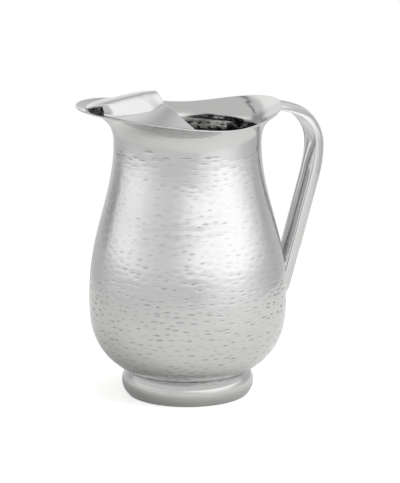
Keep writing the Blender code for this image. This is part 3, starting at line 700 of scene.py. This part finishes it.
@dataclass
class IceGuard:
    """Pressed guard over the spout: wings, a half-round crown, a nose between two drains, a rolled heel."""

    body: BodyShell
    sheet: float = 0.8 * MM
    seat_heel: float = 0.985
    seat_toe: float = 0.885
    heel_bearing: float = math.radians(108.5)
    seat_bearing: float = math.radians(150.0)
    toe_bearing: float = math.radians(168.0)
    heel_bow: float = 4.2 * MM
    ridge_rise: float = 10.8 * MM
    ridge_level: float = 8.8 * MM
    ridge_fall: float = 6.9 * MM
    wing_heel: float = 11.5 * MM
    wing_toe: float = 2.0 * MM
    wing_power: float = 2.1
    crown_heel: float = 20.0 * MM
    crown_half: float = 26.8 * MM
    crown_open: float = 0.34
    crown_margin: float = 0.96
    nose_setback: float = 4.4 * MM
    nose_length: float = 10.2 * MM
    nose_half: float = 4.2 * MM
    heel_roll: float = 0.75 * MM
    seat_gap: float = 0.1 * MM
    nose_gap: float = 0.2 * MM
    bead: float = 0.5 * MM
    bead_gap: float = 0.3 * MM
    bead_from: float = 0.06
    bead_to: float = 0.86
    across: int = 220
    along: int = 90

    def __post_init__(self) -> None:
        """Find where the wings seat in the flare and where the nose lands on the lip."""
        b = self.body
        bearing = np.linspace(self.heel_bearing - 0.2, self.toe_bearing + 0.2, 400)
        seat = self.seat_heel + (self.seat_toe - self.seat_heel) * eased(
            (bearing - self.heel_bearing) / (self.seat_bearing - self.heel_bearing))
        self.edge = b.sheet(2.0 + seat, bearing, b.wall + self.seat_gap)
        self.heel_x = np.interp(self.heel_bearing, bearing, self.edge[:, 0])
        self.toe_x = np.interp(self.toe_bearing, bearing, self.edge[:, 0])
        self.toe_half = np.interp(self.toe_bearing, bearing, self.edge[:, 1])
        spout = b.outer(3.0, math.pi)
        self.nose_reach = -spout[0] - self.nose_setback
        self.ridge_z = spout[2] + self.ridge_rise
        floor = b.sheet(np.linspace(2.5, 3.0, 400), np.full(400, math.pi), b.wall)
        self.landing = np.interp(self.nose_reach, -floor[:, 0], floor[:, 2]) + self.nose_gap + self.sheet

    def under(self, u: Array, v: Array) -> Array:
        """Point on the underside; u runs from heel to toe, v across from one wing to the other.

        Height is the seat's height, plus a wing that rises by a power curve towards the middle, plus a crown
        that is a squared cosine across and follows the ridge line along the middle.
        """
        u, v = np.broadcast_arrays(np.asarray(u, float), np.asarray(v, float))
        heel = self.heel_x - self.heel_bow * (1.0 - v ** 4)
        back = self.nose_reach - self.nose_length
        nose = self.nose_length * np.exp(-(np.abs(v) * self.toe_half / self.nose_half) ** 4)
        toe = -(back + (-self.toe_x - back) * v ** 4 + nose)
        x = heel + (toe - heel) * u
        edge_x = self.heel_x + (self.toe_x - self.heel_x) * u
        half = np.interp(-edge_x, -self.edge[:, 0], self.edge[:, 1])
        edge_z = np.interp(-edge_x, -self.edge[:, 0], self.edge[:, 2])
        opened = eased(u / self.crown_open)
        rise = self.wing_toe + (self.wing_heel - self.wing_toe) * np.clip(1.0 - u, 0.0, 1.0) ** 1.8
        wide = self.crown_heel + (self.crown_half - self.crown_heel) * opened
        wide = (wide ** -8 + (self.crown_margin * half) ** -8) ** -0.125
        t = np.clip(np.abs(v * half) / wide, 0.0, 1.0)
        crown = self.ridge(x) - self.sheet - edge_z - rise
        crown = crown * np.cos(0.5 * math.pi * t) ** (2.0 - 0.6 * opened)
        z = edge_z + rise * (1.0 - np.abs(v) ** self.wing_power) + crown
        return np.stack([x, v * half, z], -1)

    def ridge(self, x: Array) -> Array:
        """Top of the guard along its middle: level, a slow fall, then a steep end that lands on the lip."""
        start = self.ridge_level - (self.heel_x - self.heel_bow)
        s = np.clip((-x - start) / (self.nose_reach - start), 0.0, 1.0)
        end = self.ridge_z - self.ridge_fall - self.landing
        return self.ridge_z - self.ridge_fall * s ** 1.15 - end * s ** 24

    def frame_at(self, u: Array, v: Array) -> tuple[Array, Array, Array]:
        """Underside point, upward normal and unit tangent towards the toe."""
        step = 1e-4
        u, v = np.broadcast_arrays(np.asarray(u, float), np.asarray(v, float))
        low, high = np.clip(u - step, 0.0, 1.0), np.clip(u + step, 0.0, 1.0)
        left, right = np.clip(v - step, -1.0, 1.0), np.clip(v + step, -1.0, 1.0)
        along = unit(self.under(high, v) - self.under(low, v))
        over = unit(self.under(u, right) - self.under(u, left))
        return self.under(u, v), unit(np.cross(along, over)), along

    def build(self) -> list[bpy.types.Object]:
        """Build the guard sheet and its welds.

        Each station across the guard is one closed loop: round the toe edge, back under the sheet, round the
        rolled heel, and forward over the top.

        Returns:
            The pieces.
        """
        t = np.linspace(-1.0, 1.0, self.across + 1)
        v = (np.sign(t) * np.abs(t) ** 1.15)[:, None]
        length = np.linalg.norm(self.under(1.0, v[:, 0]) - self.under(0.0, v[:, 0]), axis=-1)[:, None]
        roll, half = self.heel_roll / length, 0.5 * self.sheet / length
        share = np.linspace(0.0, 1.0, self.along)[None]
        below, _, _ = self.frame_at(1.0 - half + (2.0 * roll - 1.0 + half) * share, v)
        below_top, up, ahead = self.frame_at(roll + (1.0 - half - roll) * share, v)
        if up[self.across // 2, 0, 2] < 0.0:
            up = -up
        top = below_top + self.sheet * up
        turn = np.linspace(-1.0, 0.5, 14)[1:-1][None, :, None] * math.pi
        n0, h0 = up[:, :1], -ahead[:, :1]
        centre = top[:, :1] - self.heel_roll * n0
        heel = centre + self.heel_roll * (np.cos(turn) * h0 + np.sin(turn) * n0)
        turn = np.linspace(0.0, 1.0, 8)[1:-1][None, :, None] * math.pi
        n1, f1 = up[:, -1:], ahead[:, -1:]
        middle = top[:, -1:] - 0.5 * self.sheet * n1
        toe = middle + 0.5 * self.sheet * (np.cos(turn) * n1 + np.sin(turn) * f1)
        loop = np.concatenate([toe[:, 3:], below, heel, top, toe[:, :3]], axis=1)
        loop = loop + np.array([self.body.axis_x, 0.0, 0.0])
        guard = make_piece("ice_guard_sheet", loop, Ends.ZIPPED, PRESSED, ("ice_guard",))
        return [guard] + self.welds()

    def lip_floor(self, p: Array) -> Array:
        """Height of the flare's inner face straight below points p."""
        b = self.body
        r, phi = np.hypot(p[..., 0], p[..., 1]), np.arctan2(p[..., 1], p[..., 0])
        flare, rise = b.series_at(b.flare_series, phi), b.series_at(b.rise_series, phi)
        climb = np.clip((r - b.neck_radius) / flare, 1e-6, 1.0) ** (1.0 / b.flare_power)
        slope = rise / flare / (b.flare_power * climb ** (b.flare_power - 1.0))
        return b.neck_z + b.flare_height(climb, phi) + b.wall * np.sqrt(1.0 + slope ** 2)

    def welds(self) -> list[bpy.types.Object]:
        """Beads in the corner under each wing and under the nose."""
        room = 2.0 * (self.bead + self.bead_gap)
        u = np.linspace(self.bead_from, self.bead_to, 320)

        def seat(point_at: Callable[[Array], Array], low: Array, high: Array) -> Array:
            """Halve the step until the room between guard and flare suits the bead."""
            for _ in range(40):
                mid = 0.5 * (low + high)
                p = point_at(mid)
                wide = p[..., 2] - self.lip_floor(p) > room
                low, high = np.where(wide, mid, low), np.where(wide, high, mid)
            p = point_at(low)
            p[..., 2] = 0.5 * (p[..., 2] + self.lip_floor(p))
            return p

        place = np.array([self.body.axis_x, 0.0, 0.0])
        made = []
        for side, node in ((-1.0, "guard_near_weld"), (1.0, "guard_far_weld")):
            path = seat(lambda w: self.under(u, side * w), np.full_like(u, 0.6), np.full_like(u, 1.0))
            made.append(weld_bead(node.replace("weld", "bead"), path + place, self.bead, (node,), Ends.POLES))
        toe = seat(lambda w: self.under(w, np.zeros_like(w)), np.full(1, 0.8), np.full(1, 1.0))[0]
        y = np.linspace(-0.5, 0.5, 60)[:, None] * self.nose_half * np.array([0.0, 1.0, 0.0])
        made.append(weld_bead("guard_nose_bead", toe + y + place, self.bead, ("guard_nose_weld",),
                              Ends.POLES))
        return made


@dataclass
class Handle:
    """Hollow handle: a half-round shell, wide at the rim and deep below, closed by a bowed inner plate."""

    body: BodyShell
    drop: float = 6.1 * MM
    headings: tuple[float, ...] = (math.radians(-5.9), math.radians(28.0), math.radians(92.3))
    bends: tuple[float, ...] = (53.8 * MM, 25.8 * MM, 96.9 * MM)
    seat_rise: float = 5.0 * MM
    tuck: float = 30.0 * MM
    tuck_turn: float = math.radians(38.9)
    half_top: float = 13.3 * MM
    half_low: float = 10.2 * MM
    depth_top: float = 5.4 * MM
    depth_low: float = 10.4 * MM
    taper: float = 75.0 * MM
    bow: float = 4.0 * MM
    bow_from: float = 42.0 * MM
    bow_to: float = 78.0 * MM
    wall: float = 1.0 * MM
    seam: float = 0.35 * MM
    edge_round: float = 0.25 * MM
    seat_gap: float = 0.3 * MM
    trim_gap: float = 0.02 * MM
    steps: int = 260

    def __post_init__(self) -> None:
        """Lay out the inner face's line: two bends, a third that aims at the belly, a straight, a tuck."""
        b = self.body
        self.start = (b.neck_radius, b.neck_z + self.rim_rise() - self.drop)
        x, z = self.start
        self.runs: list[tuple[float, float]] = []
        for radius, begin, end in zip(self.bends, self.headings[:-1], self.headings[1:]):
            x, z = self.bend(x, z, begin, radius, end - begin)
            self.runs.append((radius * (end - begin), 1.0 / radius))
        seat_z = b.belly_z + self.seat_rise
        seat_x = float(self.body_radius(np.array(seat_z), np.array(0.0))) + self.seat_gap
        low, high = 0.0, math.radians(60.0)
        for _ in range(60):
            turn = 0.5 * (low + high)
            end_x, end_z = self.bend(x, z, self.headings[-1], self.bends[-1], turn)
            aim = math.atan2(end_z - seat_z, seat_x - end_x)
            low, high = (turn, high) if self.headings[-1] + turn < aim else (low, turn)
        end_x, end_z = self.bend(x, z, self.headings[-1], self.bends[-1], low)
        self.runs += [(self.bends[-1] * low, 1.0 / self.bends[-1]),
                      (math.hypot(end_x - seat_x, end_z - seat_z), 0.0),
                      (self.tuck * self.tuck_turn, 1.0 / self.tuck)]
        self.length = sum(run for run, _ in self.runs)

    def rim_rise(self) -> float:
        """Rise of the rim above the neck at the handle."""
        return self.body.rim_rise_mm[0] * MM

    @staticmethod
    def bend(x: float, z: float, heading: float, radius: float, turn: float) -> tuple[float, float]:
        """End of an arc that starts at (x, z) with a heading measured downwards from +X."""
        return (x + radius * (math.sin(heading + turn) - math.sin(heading)),
                z - radius * (math.cos(heading) - math.cos(heading + turn)))

    def body_radius(self, z: Array, phi: Array) -> Array:
        """Outside radius of the body at height z and bearing phi."""
        b = self.body
        down = np.clip((b.belly_z - z) / b.bowl_depth, 0.0, 1.0)
        bowl = b.belly_radius * np.sqrt(1.0 - down ** b.bowl_power)
        up = np.clip((z - b.belly_z) / b.shoulder_height, 0.0, 1.0) ** b.shoulder_ease
        side = b.neck_radius + (b.belly_radius - b.neck_radius) * 0.5 * (1.0 + np.cos(math.pi * up))
        climb = np.clip((z - b.neck_z) / b.series_at(b.rise_series, phi), 0.0, 1.1)
        flare = b.neck_radius + b.series_at(b.flare_series, phi) * climb ** b.flare_power
        return np.where(z < b.belly_z, bowl, np.where(z < b.neck_z, side, flare))

    def clearance(self, p: Array) -> Array:
        """Distance of points outside the body, square to its face."""
        r, phi, z = np.hypot(p[..., 0], p[..., 1]), np.arctan2(p[..., 1], p[..., 0]), p[..., 2]
        slope = (self.body_radius(z + 1e-5, phi) - self.body_radius(z - 1e-5, phi)) / 2e-5
        return (r - self.body_radius(z, phi)) / np.sqrt(1.0 + slope ** 2)

    def line(self, s: Array) -> tuple[Array, Array]:
        """Inner face's line at length s: point (x, z) and outward normal (x, z), arc by arc."""
        s = np.asarray(s, float)
        heading0, begin = self.headings[0], 0.0
        x0, z0 = self.start
        heading = np.full_like(s, heading0)
        x, z = x0 + s * math.cos(heading0), z0 - s * math.sin(heading0)
        for length, curve in self.runs:
            run = np.clip(s - begin, 0.0, length)
            h, stop = heading0 + curve * run, heading0 + curve * length
            if curve:
                px = x0 + (np.sin(h) - math.sin(heading0)) / curve
                pz = z0 - (math.cos(heading0) - np.cos(h)) / curve
                x1 = x0 + (math.sin(stop) - math.sin(heading0)) / curve
                z1 = z0 - (math.cos(heading0) - math.cos(stop)) / curve
            else:
                px, pz = x0 + run * math.cos(heading0), z0 - run * math.sin(heading0)
                x1, z1 = x0 + length * math.cos(heading0), z0 - length * math.sin(heading0)
            on = s >= begin
            x, z, heading = np.where(on, px, x), np.where(on, pz, z), np.where(on, h, heading)
            x0, z0, heading0, begin = x1, z1, stop, begin + length
        return np.stack([x, z], -1), np.stack([np.sin(heading), np.cos(heading)], -1)

    def size(self, s: Array) -> tuple[Array, Array]:
        """Half width and depth at length s, eased from the rim's sizes to the lower ones."""
        t = eased(np.asarray(s) / self.taper)
        return (self.half_top + (self.half_low - self.half_top) * t,
                self.depth_top + (self.depth_low - self.depth_top) * t)

    def point(self, s: Array, lines: Array) -> Array:
        """Points at lengths s on section lines.

        A section line is (share of half width, inset, share of depth, inset, height added, share of bow): the
        section is half an ellipse of the handle's half width and depth over its inner face, which bows out
        below the bend.
        """
        flat, normal = self.line(s)
        half, depth = self.size(s)
        bow = self.bow * eased((s - self.bow_from) / (self.bow_to - self.bow_from))
        across = lines[:, 0] * (half - lines[:, 1])
        height = lines[:, 2] * (depth - lines[:, 3]) + lines[:, 4] - lines[:, 5] * bow
        at = flat + height[..., None] * normal
        return np.stack([at[..., 0], across, at[..., 1]], -1)

    def trimmed(self, lines: Array, clear: float) -> tuple[Array, Array]:
        """Lengths at which section lines leave the flare and meet the belly, found by halving."""
        ends = []
        lead = 0.5 * self.body.neck_radius
        for inside, outside in ((-lead, lead), (self.length, 0.5 * self.length)):
            low, high = np.full(len(lines), inside), np.full(len(lines), outside)
            for _ in range(50):
                mid = 0.5 * (low + high)
                free = self.clearance(self.point(mid, lines)) > clear
                low, high = np.where(free, low, mid), np.where(free, mid, high)
            ends.append(high)
        return ends[0], ends[1]

    def sweep(self, name: str, lines: Array, node: str, finish: SteelFinish) -> bpy.types.Object:
        """Carry a zipped section along the handle, each of its lines cut to the flare and the belly.

        Args:
            name: Name of the piece.
            lines: Section lines in loop order.
            node: CAD node that the piece stands for.
            finish: Finish of its steel.

        Returns:
            The new object.
        """
        start, stop = self.trimmed(lines, self.trim_gap)
        t = np.linspace(0.0, 1.0, self.steps + 1)[:, None]
        s = start + (stop - start) * t
        grid = self.point(s, lines)
        sides = np.linalg.norm(np.diff(grid[len(t) // 2], axis=0), axis=1)
        across = np.concatenate([[0.0], np.cumsum(sides)])
        uv = np.stack([s, np.broadcast_to(across, s.shape)], -1)
        grid = grid + np.array([self.body.axis_x, 0.0, 0.0])
        return make_piece(name, grid, Ends.ZIPPED, finish, (node,), uv)

    def build(self) -> list[bpy.types.Object]:
        """Build the shell and the plate.

        Returns:
            The two pieces.
        """
        turn = np.linspace(0.0, math.pi, 49)
        flat = np.zeros_like(turn)
        soft = np.clip(np.abs(turn - 0.5 * math.pi) - 0.5 * math.pi + 0.04, 0.0, None) / 0.04
        outside = np.stack([np.cos(turn), self.edge_round * soft ** 2, np.sin(turn), flat, flat, flat], -1)
        inside = np.stack([np.cos(turn), flat + self.wall, np.sin(turn), flat + self.wall, flat, flat], -1)
        shell = self.sweep("handle_shell", np.concatenate([outside, inside[::-1]]), "handle_outer_shell",
                           LINISHED)
        strip = np.linspace(-1.0, 1.0, 25)
        flat = np.zeros_like(strip)
        soft = np.clip(np.abs(strip) - 0.97, 0.0, None) / 0.03
        bulge = 1.0 - strip ** 2
        under = np.stack([strip, flat + self.wall + self.seam, flat, flat, 0.15 * MM * soft ** 2, bulge], -1)
        over = np.stack([strip, flat + self.wall + self.seam, flat, flat, flat + self.wall, bulge], -1)
        plate = self.sweep("handle_plate", np.concatenate([over, under[::-1]]), "handle_inner_plate",
                           POLISHED_PLATE_PAINTED_BRIGHT)
        return [shell, plate]


@dataclass(frozen=True)
class Panel:
    """One soft-edged patch of the room, as seen from the object, with angles in degrees.

    Attributes:
        bearing: Middle of the patch, counted from the camera towards its right.
        half_width: Half of its width.
        height: Elevation of its middle.
        half_height: Half of its height.
        soft_side: Width of its soft edges left and right.
        soft_rise: Width of its soft edges above and below.
        level: Brightness, where 1 is white.
    """

    bearing: float
    half_width: float
    height: float
    half_height: float
    soft_side: float
    soft_rise: float
    level: float


# The room, from the back of the list to the front: each patch covers what comes before it.
ROOM = (
    Panel(180.0, 36.0, 6.0, 34.0, 14.0, 20.0, 1.04),   # white sweep behind the object
    Panel(180.0, 12.0, 36.0, 5.0, 16.0, 14.0, 0.60),   # top edge of the sweep
    Panel(130.0, 72.0, 82.0, 35.0, 20.0, 20.0, 1.46),  # overhead softbox, behind and to the right
    Panel(14.0, 16.0, -2.0, 26.0, 30.0, 20.0, 0.97),   # pale front of the room
    Panel(-25.0, 30.0, 9.5, 7.0, 30.0, 7.0, 0.98),     # paler strip above the front's horizon
    Panel(-84.0, 28.0, -4.0, 19.0, 50.0, 12.0, 1.34),  # white card on the left
    Panel(46.0, 48.0, 12.5, 5.0, 50.0, 7.0, 1.60),     # wing of the key softbox
    Panel(60.0, 32.0, 3.5, 15.5, 62.0, 14.0, 1.72),    # key softbox in front, on the right
    Panel(-134.0, 15.0, 0.0, 18.0, 14.0, 14.0, 0.46),  # dark gap between card and sweep
    Panel(168.0, 11.0, 14.0, 12.0, 3.0, 6.0, 0.70),    # grey half of the sweep
    Panel(-158.0, 12.0, 34.0, 14.0, 8.0, 10.0, 1.30),  # bright side of the sweep
    Panel(-139.0, 2.5, 49.0, 5.0, 3.0, 4.0, 0.24),     # dark edge of the sweep at its top
    Panel(-131.0, 6.0, 42.5, 2.5, 4.0, 4.0, 0.30),     # the same edge, bent
    Panel(-125.5, 2.0, 30.0, 10.0, 3.0, 6.0, 0.24),    # and running down
    Panel(128.0, 11.0, 2.0, 26.0, 16.0, 14.0, 0.66),   # dark gap on the other side
)
ROOM_LEVEL = 0.86


@dataclass
class Studio:
    """White table, a room of soft panels and the camera of the product shot."""

    axis_x: float
    bearing: float = math.radians(-23.0)
    height_angle: float = math.radians(13.6)
    distance: float = 2.576
    focal_px: float = 3500.0
    frame_px: tuple[int, int] = (400, 483)
    aim_right: float = 9.13 * MM
    aim_z: float = 113.85 * MM
    table_sides: int = 128
    table_radius: float = 0.55
    table_shift: float = 0.10
    table_glow: float = 0.55
    cove_height: float = 0.17
    cove_level: float = 0.89
    cove_lit: float = 1.28
    cove_lit_from: float = 0.72
    cove_rear: float = 0.78
    cove_rear_span: tuple[float, float] = (-0.65, -0.2)
    cove_fade_from: float = 0.4
    room_share: float = 0.67
    lamp_watts: float = 6.0
    lamp_bearing: float = math.radians(57.0)
    lamp_height: float = math.radians(64.0)
    lamp_reach: float = 1.0
    lamp_size: float = 0.8

    def back(self) -> Vector:
        """Level direction from the object to the camera."""
        return Vector((math.sin(self.bearing), -math.cos(self.bearing), 0.0))

    def right(self) -> Vector:
        """Level direction to the camera's right."""
        return Vector((math.cos(self.bearing), math.sin(self.bearing), 0.0))

    def lamp_side(self) -> Vector:
        """Level direction from the object to the lamp."""
        return self.back() * math.cos(self.lamp_bearing) + self.right() * math.sin(self.lamp_bearing)

    def table_edge(self) -> Array:
        """Points round the edge of the table top."""
        turn = np.linspace(0.0, 2.0 * math.pi, self.table_sides, endpoint=False)
        return np.stack([np.cos(turn), np.sin(turn), 0.0 * turn], -1) * self.table_radius

    def staged(self, name: str, points: Array, faces: Array, mat: bpy.types.Material) -> bpy.types.Object:
        """Put one piece of the set on the stage, its middle a little nearer to the camera than the object.

        Args:
            name: Name of the piece.
            points: Its points about its own middle.
            faces: Its faces, as rows of point numbers.
            mat: Its material.

        Returns:
            The new object.
        """
        mesh = bpy.data.meshes.new(name)
        mesh.from_pydata(points.tolist(), [], faces.tolist())
        mesh.materials.append(mat)
        ob = bpy.data.objects.new(name, mesh)
        ob.location = self.back() * self.table_shift
        bpy.context.scene.collection.objects.link(ob)
        return ob

    @staticmethod
    def blank(name: str) -> bpy.types.Material:
        """New material with an empty node tree."""
        mat = bpy.data.materials.new(name)
        mat.use_nodes = True
        mat.node_tree.nodes.clear()
        return mat

    @staticmethod
    def reach(tree: bpy.types.NodeTree, place: bpy.types.NodeSocket, way: Vector) -> bpy.types.NodeSocket:
        """How far a place or a look reaches along a way."""
        node = add_node(tree, "ShaderNodeVectorMath", {0: place, 1: way}, operation="DOT_PRODUCT")
        return node.outputs["Value"]

    def dimmed(self, tree: bpy.types.NodeTree, level: bpy.types.NodeSocket) -> bpy.types.NodeSocket:
        """Level of which the steel's reflections get all, and everything else the room's share."""
        rays = add_node(tree, "ShaderNodeLightPath")
        share = add_node(tree, "ShaderNodeMapRange", {"Value": rays.outputs["Is Glossy Ray"],
                                                      "To Min": self.room_share, "To Max": 1.0})
        node = add_node(tree, "ShaderNodeMath", {0: level, 1: share.outputs[0]}, operation="MULTIPLY")
        return node.outputs[0]

    def camera(self) -> None:
        """Put the camera at the product shot's angle: a long lens a little above the rim."""
        lift = self.height_angle
        back = self.back() * math.cos(lift) + Vector((0.0, 0.0, math.sin(lift)))
        aim = Vector((self.axis_x, 0.0, self.aim_z)) + self.right() * self.aim_right
        data = bpy.data.cameras.new("product_camera")
        data.sensor_width = 36.0
        data.lens = 36.0 * self.focal_px / max(self.frame_px)
        data.clip_start, data.clip_end = 0.05, 50.0
        ob = bpy.data.objects.new("product_camera", data)
        ob.location = aim + back * self.distance
        ob.rotation_euler = (-back).to_track_quat("-Z", "Y").to_euler()
        bpy.context.scene.collection.objects.link(ob)
        bpy.context.scene.camera = ob

    def floor(self) -> None:
        """Lay a round table top that is white for the camera, and keeps the shadow."""
        # White laminate: an even ground that only the object's shadow marks.
        mat = self.blank("white_table_laminate")
        tree = mat.node_tree
        rays = add_node(tree, "ShaderNodeLightPath")
        level = add_node(tree, "ShaderNodeMath", {0: rays.outputs["Is Camera Ray"], 1: self.table_glow},
                         operation="MULTIPLY")
        paper = add_node(tree, "ShaderNodeBsdfDiffuse", {"Color": linear("#f2f2f0")})
        glow = add_node(tree, "ShaderNodeEmission", {"Color": WHITE, "Strength": level.outputs[0]})
        both = add_node(tree, "ShaderNodeAddShader", {0: paper.outputs[0], 1: glow.outputs[0]})
        add_node(tree, "ShaderNodeOutputMaterial", {"Surface": both.outputs[0]})
        self.staged("studio_floor", self.table_edge(), np.arange(self.table_sides)[None], mat)

    def cove(self) -> None:
        """Stand a low pale wall round the table, fading out towards its top, for the steel to mirror.

        It is brighter towards the lamp and darker at the rear. The camera doesn't see it.
        """
        # White paper that glows, for the soft horizon that runs round the belly.
        mat = self.blank("white_cove_paper")
        tree = mat.node_tree
        place = add_node(tree, "ShaderNodeTexCoord").outputs["Object"]
        toward, ahead = (self.reach(tree, place, way) for way in (self.lamp_side(), self.back()))
        # Painted light and shade: the glow is brighter towards the lamp and darker at the rear, not lit by
        # the lamp.
        lit = add_node(tree, "ShaderNodeMapRange",
                       {"Value": toward, "From Min": self.cove_lit_from * self.table_radius,
                        "From Max": self.table_radius, "To Min": self.cove_level, "To Max": self.cove_lit})
        low, high = (end * self.table_radius for end in self.cove_rear_span)
        rear = add_node(tree, "ShaderNodeMapRange", {"Value": ahead, "From Min": low, "From Max": high,
                                                     "To Min": self.cove_rear, "To Max": 1.0})
        tone = add_node(tree, "ShaderNodeMath", {0: lit.outputs[0], 1: rear.outputs[0]}, operation="MULTIPLY")
        level = self.dimmed(tree, tone.outputs[0])
        spot = add_node(tree, "ShaderNodeSeparateXYZ", {0: place})
        fade = add_node(tree, "ShaderNodeMapRange",
                        {"Value": spot.outputs["Z"], "From Min": self.cove_fade_from * self.cove_height,
                         "From Max": self.cove_height}, interpolation_type="SMOOTHSTEP")
        paper = add_node(tree, "ShaderNodeEmission", {"Color": WHITE, "Strength": level})
        clear = add_node(tree, "ShaderNodeBsdfTransparent")
        both = add_node(tree, "ShaderNodeMixShader",
                        {0: fade.outputs[0], 1: paper.outputs[0], 2: clear.outputs[0]})
        add_node(tree, "ShaderNodeOutputMaterial", {"Surface": both.outputs[0]})
        foot = self.table_edge()
        points = np.concatenate([foot, foot + np.array([0.0, 0.0, self.cove_height])])
        here = np.arange(self.table_sides)
        beside = (here + 1) % self.table_sides
        faces = np.stack([here + self.table_sides, beside + self.table_sides, beside, here], -1)
        ob = self.staged("studio_cove", points, faces, mat)
        ob.visible_camera, ob.visible_shadow = False, False

    def light(self) -> None:
        """Light the set with a pale room of soft panels; the camera itself sees plain white behind it all."""
        world = bpy.data.worlds.new("white_studio")
        world.use_nodes = True
        tree = world.node_tree
        tree.nodes.clear()
        look = add_node(tree, "ShaderNodeTexCoord").outputs["Generated"]
        ways = self.back(), self.right(), Vector((0.0, 0.0, 1.0))
        ahead, across, up = (self.reach(tree, look, way) for way in ways)
        bearing = add_node(tree, "ShaderNodeMath", {0: across, 1: ahead}, operation="ARCTAN2").outputs[0]
        height = add_node(tree, "ShaderNodeMath", {0: up}, operation="ARCSINE").outputs[0]
        level: Any = ROOM_LEVEL
        for panel in ROOM:
            level = self.cover(tree, panel, bearing, height, level)
        level = self.dimmed(tree, level)
        seen = add_node(tree, "ShaderNodeBackground", {"Color": WHITE, "Strength": 1.0})
        room = add_node(tree, "ShaderNodeBackground", {"Color": WHITE, "Strength": level})
        rays = add_node(tree, "ShaderNodeLightPath")
        pick = add_node(tree, "ShaderNodeMixShader",
                        {0: rays.outputs["Is Camera Ray"], 1: room.outputs[0], 2: seen.outputs[0]})
        add_node(tree, "ShaderNodeOutputWorld", {"Surface": pick.outputs[0]})
        bpy.context.scene.world = world

    def lamp(self) -> None:
        """Hang a soft lamp in front on the right, which lays the object's shadow to the left behind it."""
        way = self.lamp_side() * math.cos(self.lamp_height) + Vector((0.0, 0.0, math.sin(self.lamp_height)))
        data = bpy.data.lights.new("key_lamp", "AREA")
        data.energy, data.size = self.lamp_watts, self.lamp_size
        ob = bpy.data.objects.new("key_lamp", data)
        ob.location = Vector((self.axis_x, 0.0, 0.0)) + way * self.lamp_reach
        ob.rotation_euler = way.to_track_quat("Z", "Y").to_euler()
        ob.visible_glossy = False
        bpy.context.scene.collection.objects.link(ob)

    @staticmethod
    def cover(tree: bpy.types.NodeTree, panel: Panel, bearing: bpy.types.NodeSocket,
              height: bpy.types.NodeSocket, level: Any) -> bpy.types.NodeSocket:
        """Lay one panel over the room so far.

        Args:
            tree: The world's node tree.
            panel: The panel.
            bearing: Bearing of the look, in radians.
            height: Elevation of the look, in radians.
            level: Brightness of the room so far.

        Returns:
            Brightness of the room with the panel.
        """
        aside, above = (
            add_node(tree, "ShaderNodeMath", {0: angle, 1: math.radians(middle)}, operation="SUBTRACT")
            for angle, middle in ((bearing, panel.bearing), (height, panel.height)))
        turned = add_node(tree, "ShaderNodeMath", {0: aside.outputs[0], 1: math.pi, 2: -math.pi},
                          operation="WRAP")
        mask: Any = 1.0
        for offset, half, soft in ((turned, panel.half_width, panel.soft_side),
                                   (above, panel.half_height, panel.soft_rise)):
            off = add_node(tree, "ShaderNodeMath", {0: offset.outputs[0]}, operation="ABSOLUTE")
            edge = add_node(tree, "ShaderNodeMapRange",
                            {"Value": off.outputs[0], "From Min": math.radians(half + 0.5 * soft),
                             "From Max": math.radians(half - 0.5 * soft)}, interpolation_type="SMOOTHSTEP")
            both = add_node(tree, "ShaderNodeMath", {0: edge.outputs[0], 1: mask}, operation="MULTIPLY")
            mask = both.outputs[0]
        return add_node(tree, "ShaderNodeMix", {0: mask, 2: level, 3: panel.level}).outputs[0]

    def build(self) -> None:
        """Set up the whole studio."""
        self.floor()
        self.cove()
        self.light()
        self.lamp()
        self.camera()
        bpy.context.scene.view_settings.view_transform = "Standard"


def dress_hidden_welds(nodes: dict[str, bpy.types.Object]) -> None:
    """Give the weld slugs inside the handle's ends their weld metal."""
    for name in ("handle_rim_weld", "handle_body_weld"):
        mesh = nodes[name].data
        mesh.materials.clear()
        mesh.materials.append(dressed(WELD))
        LOG.info("%s: kept from the frame", name)


def main() -> None:
    """Build every sub-assembly and the studio, round the foot ring's axis."""
    logging.basicConfig(level=logging.INFO, format="%(name)s %(message)s")
    low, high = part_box("foot_ring")
    axis_x = 0.5 * (low[0] + high[0])
    body = BodyShell(axis_x)
    body.build()
    FootRing(body).build()
    IceGuard(body).build()
    Handle(body).build()
    dress_hidden_welds(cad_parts)
    Studio(axis_x).build()


if __name__ == "__main__":
    main()
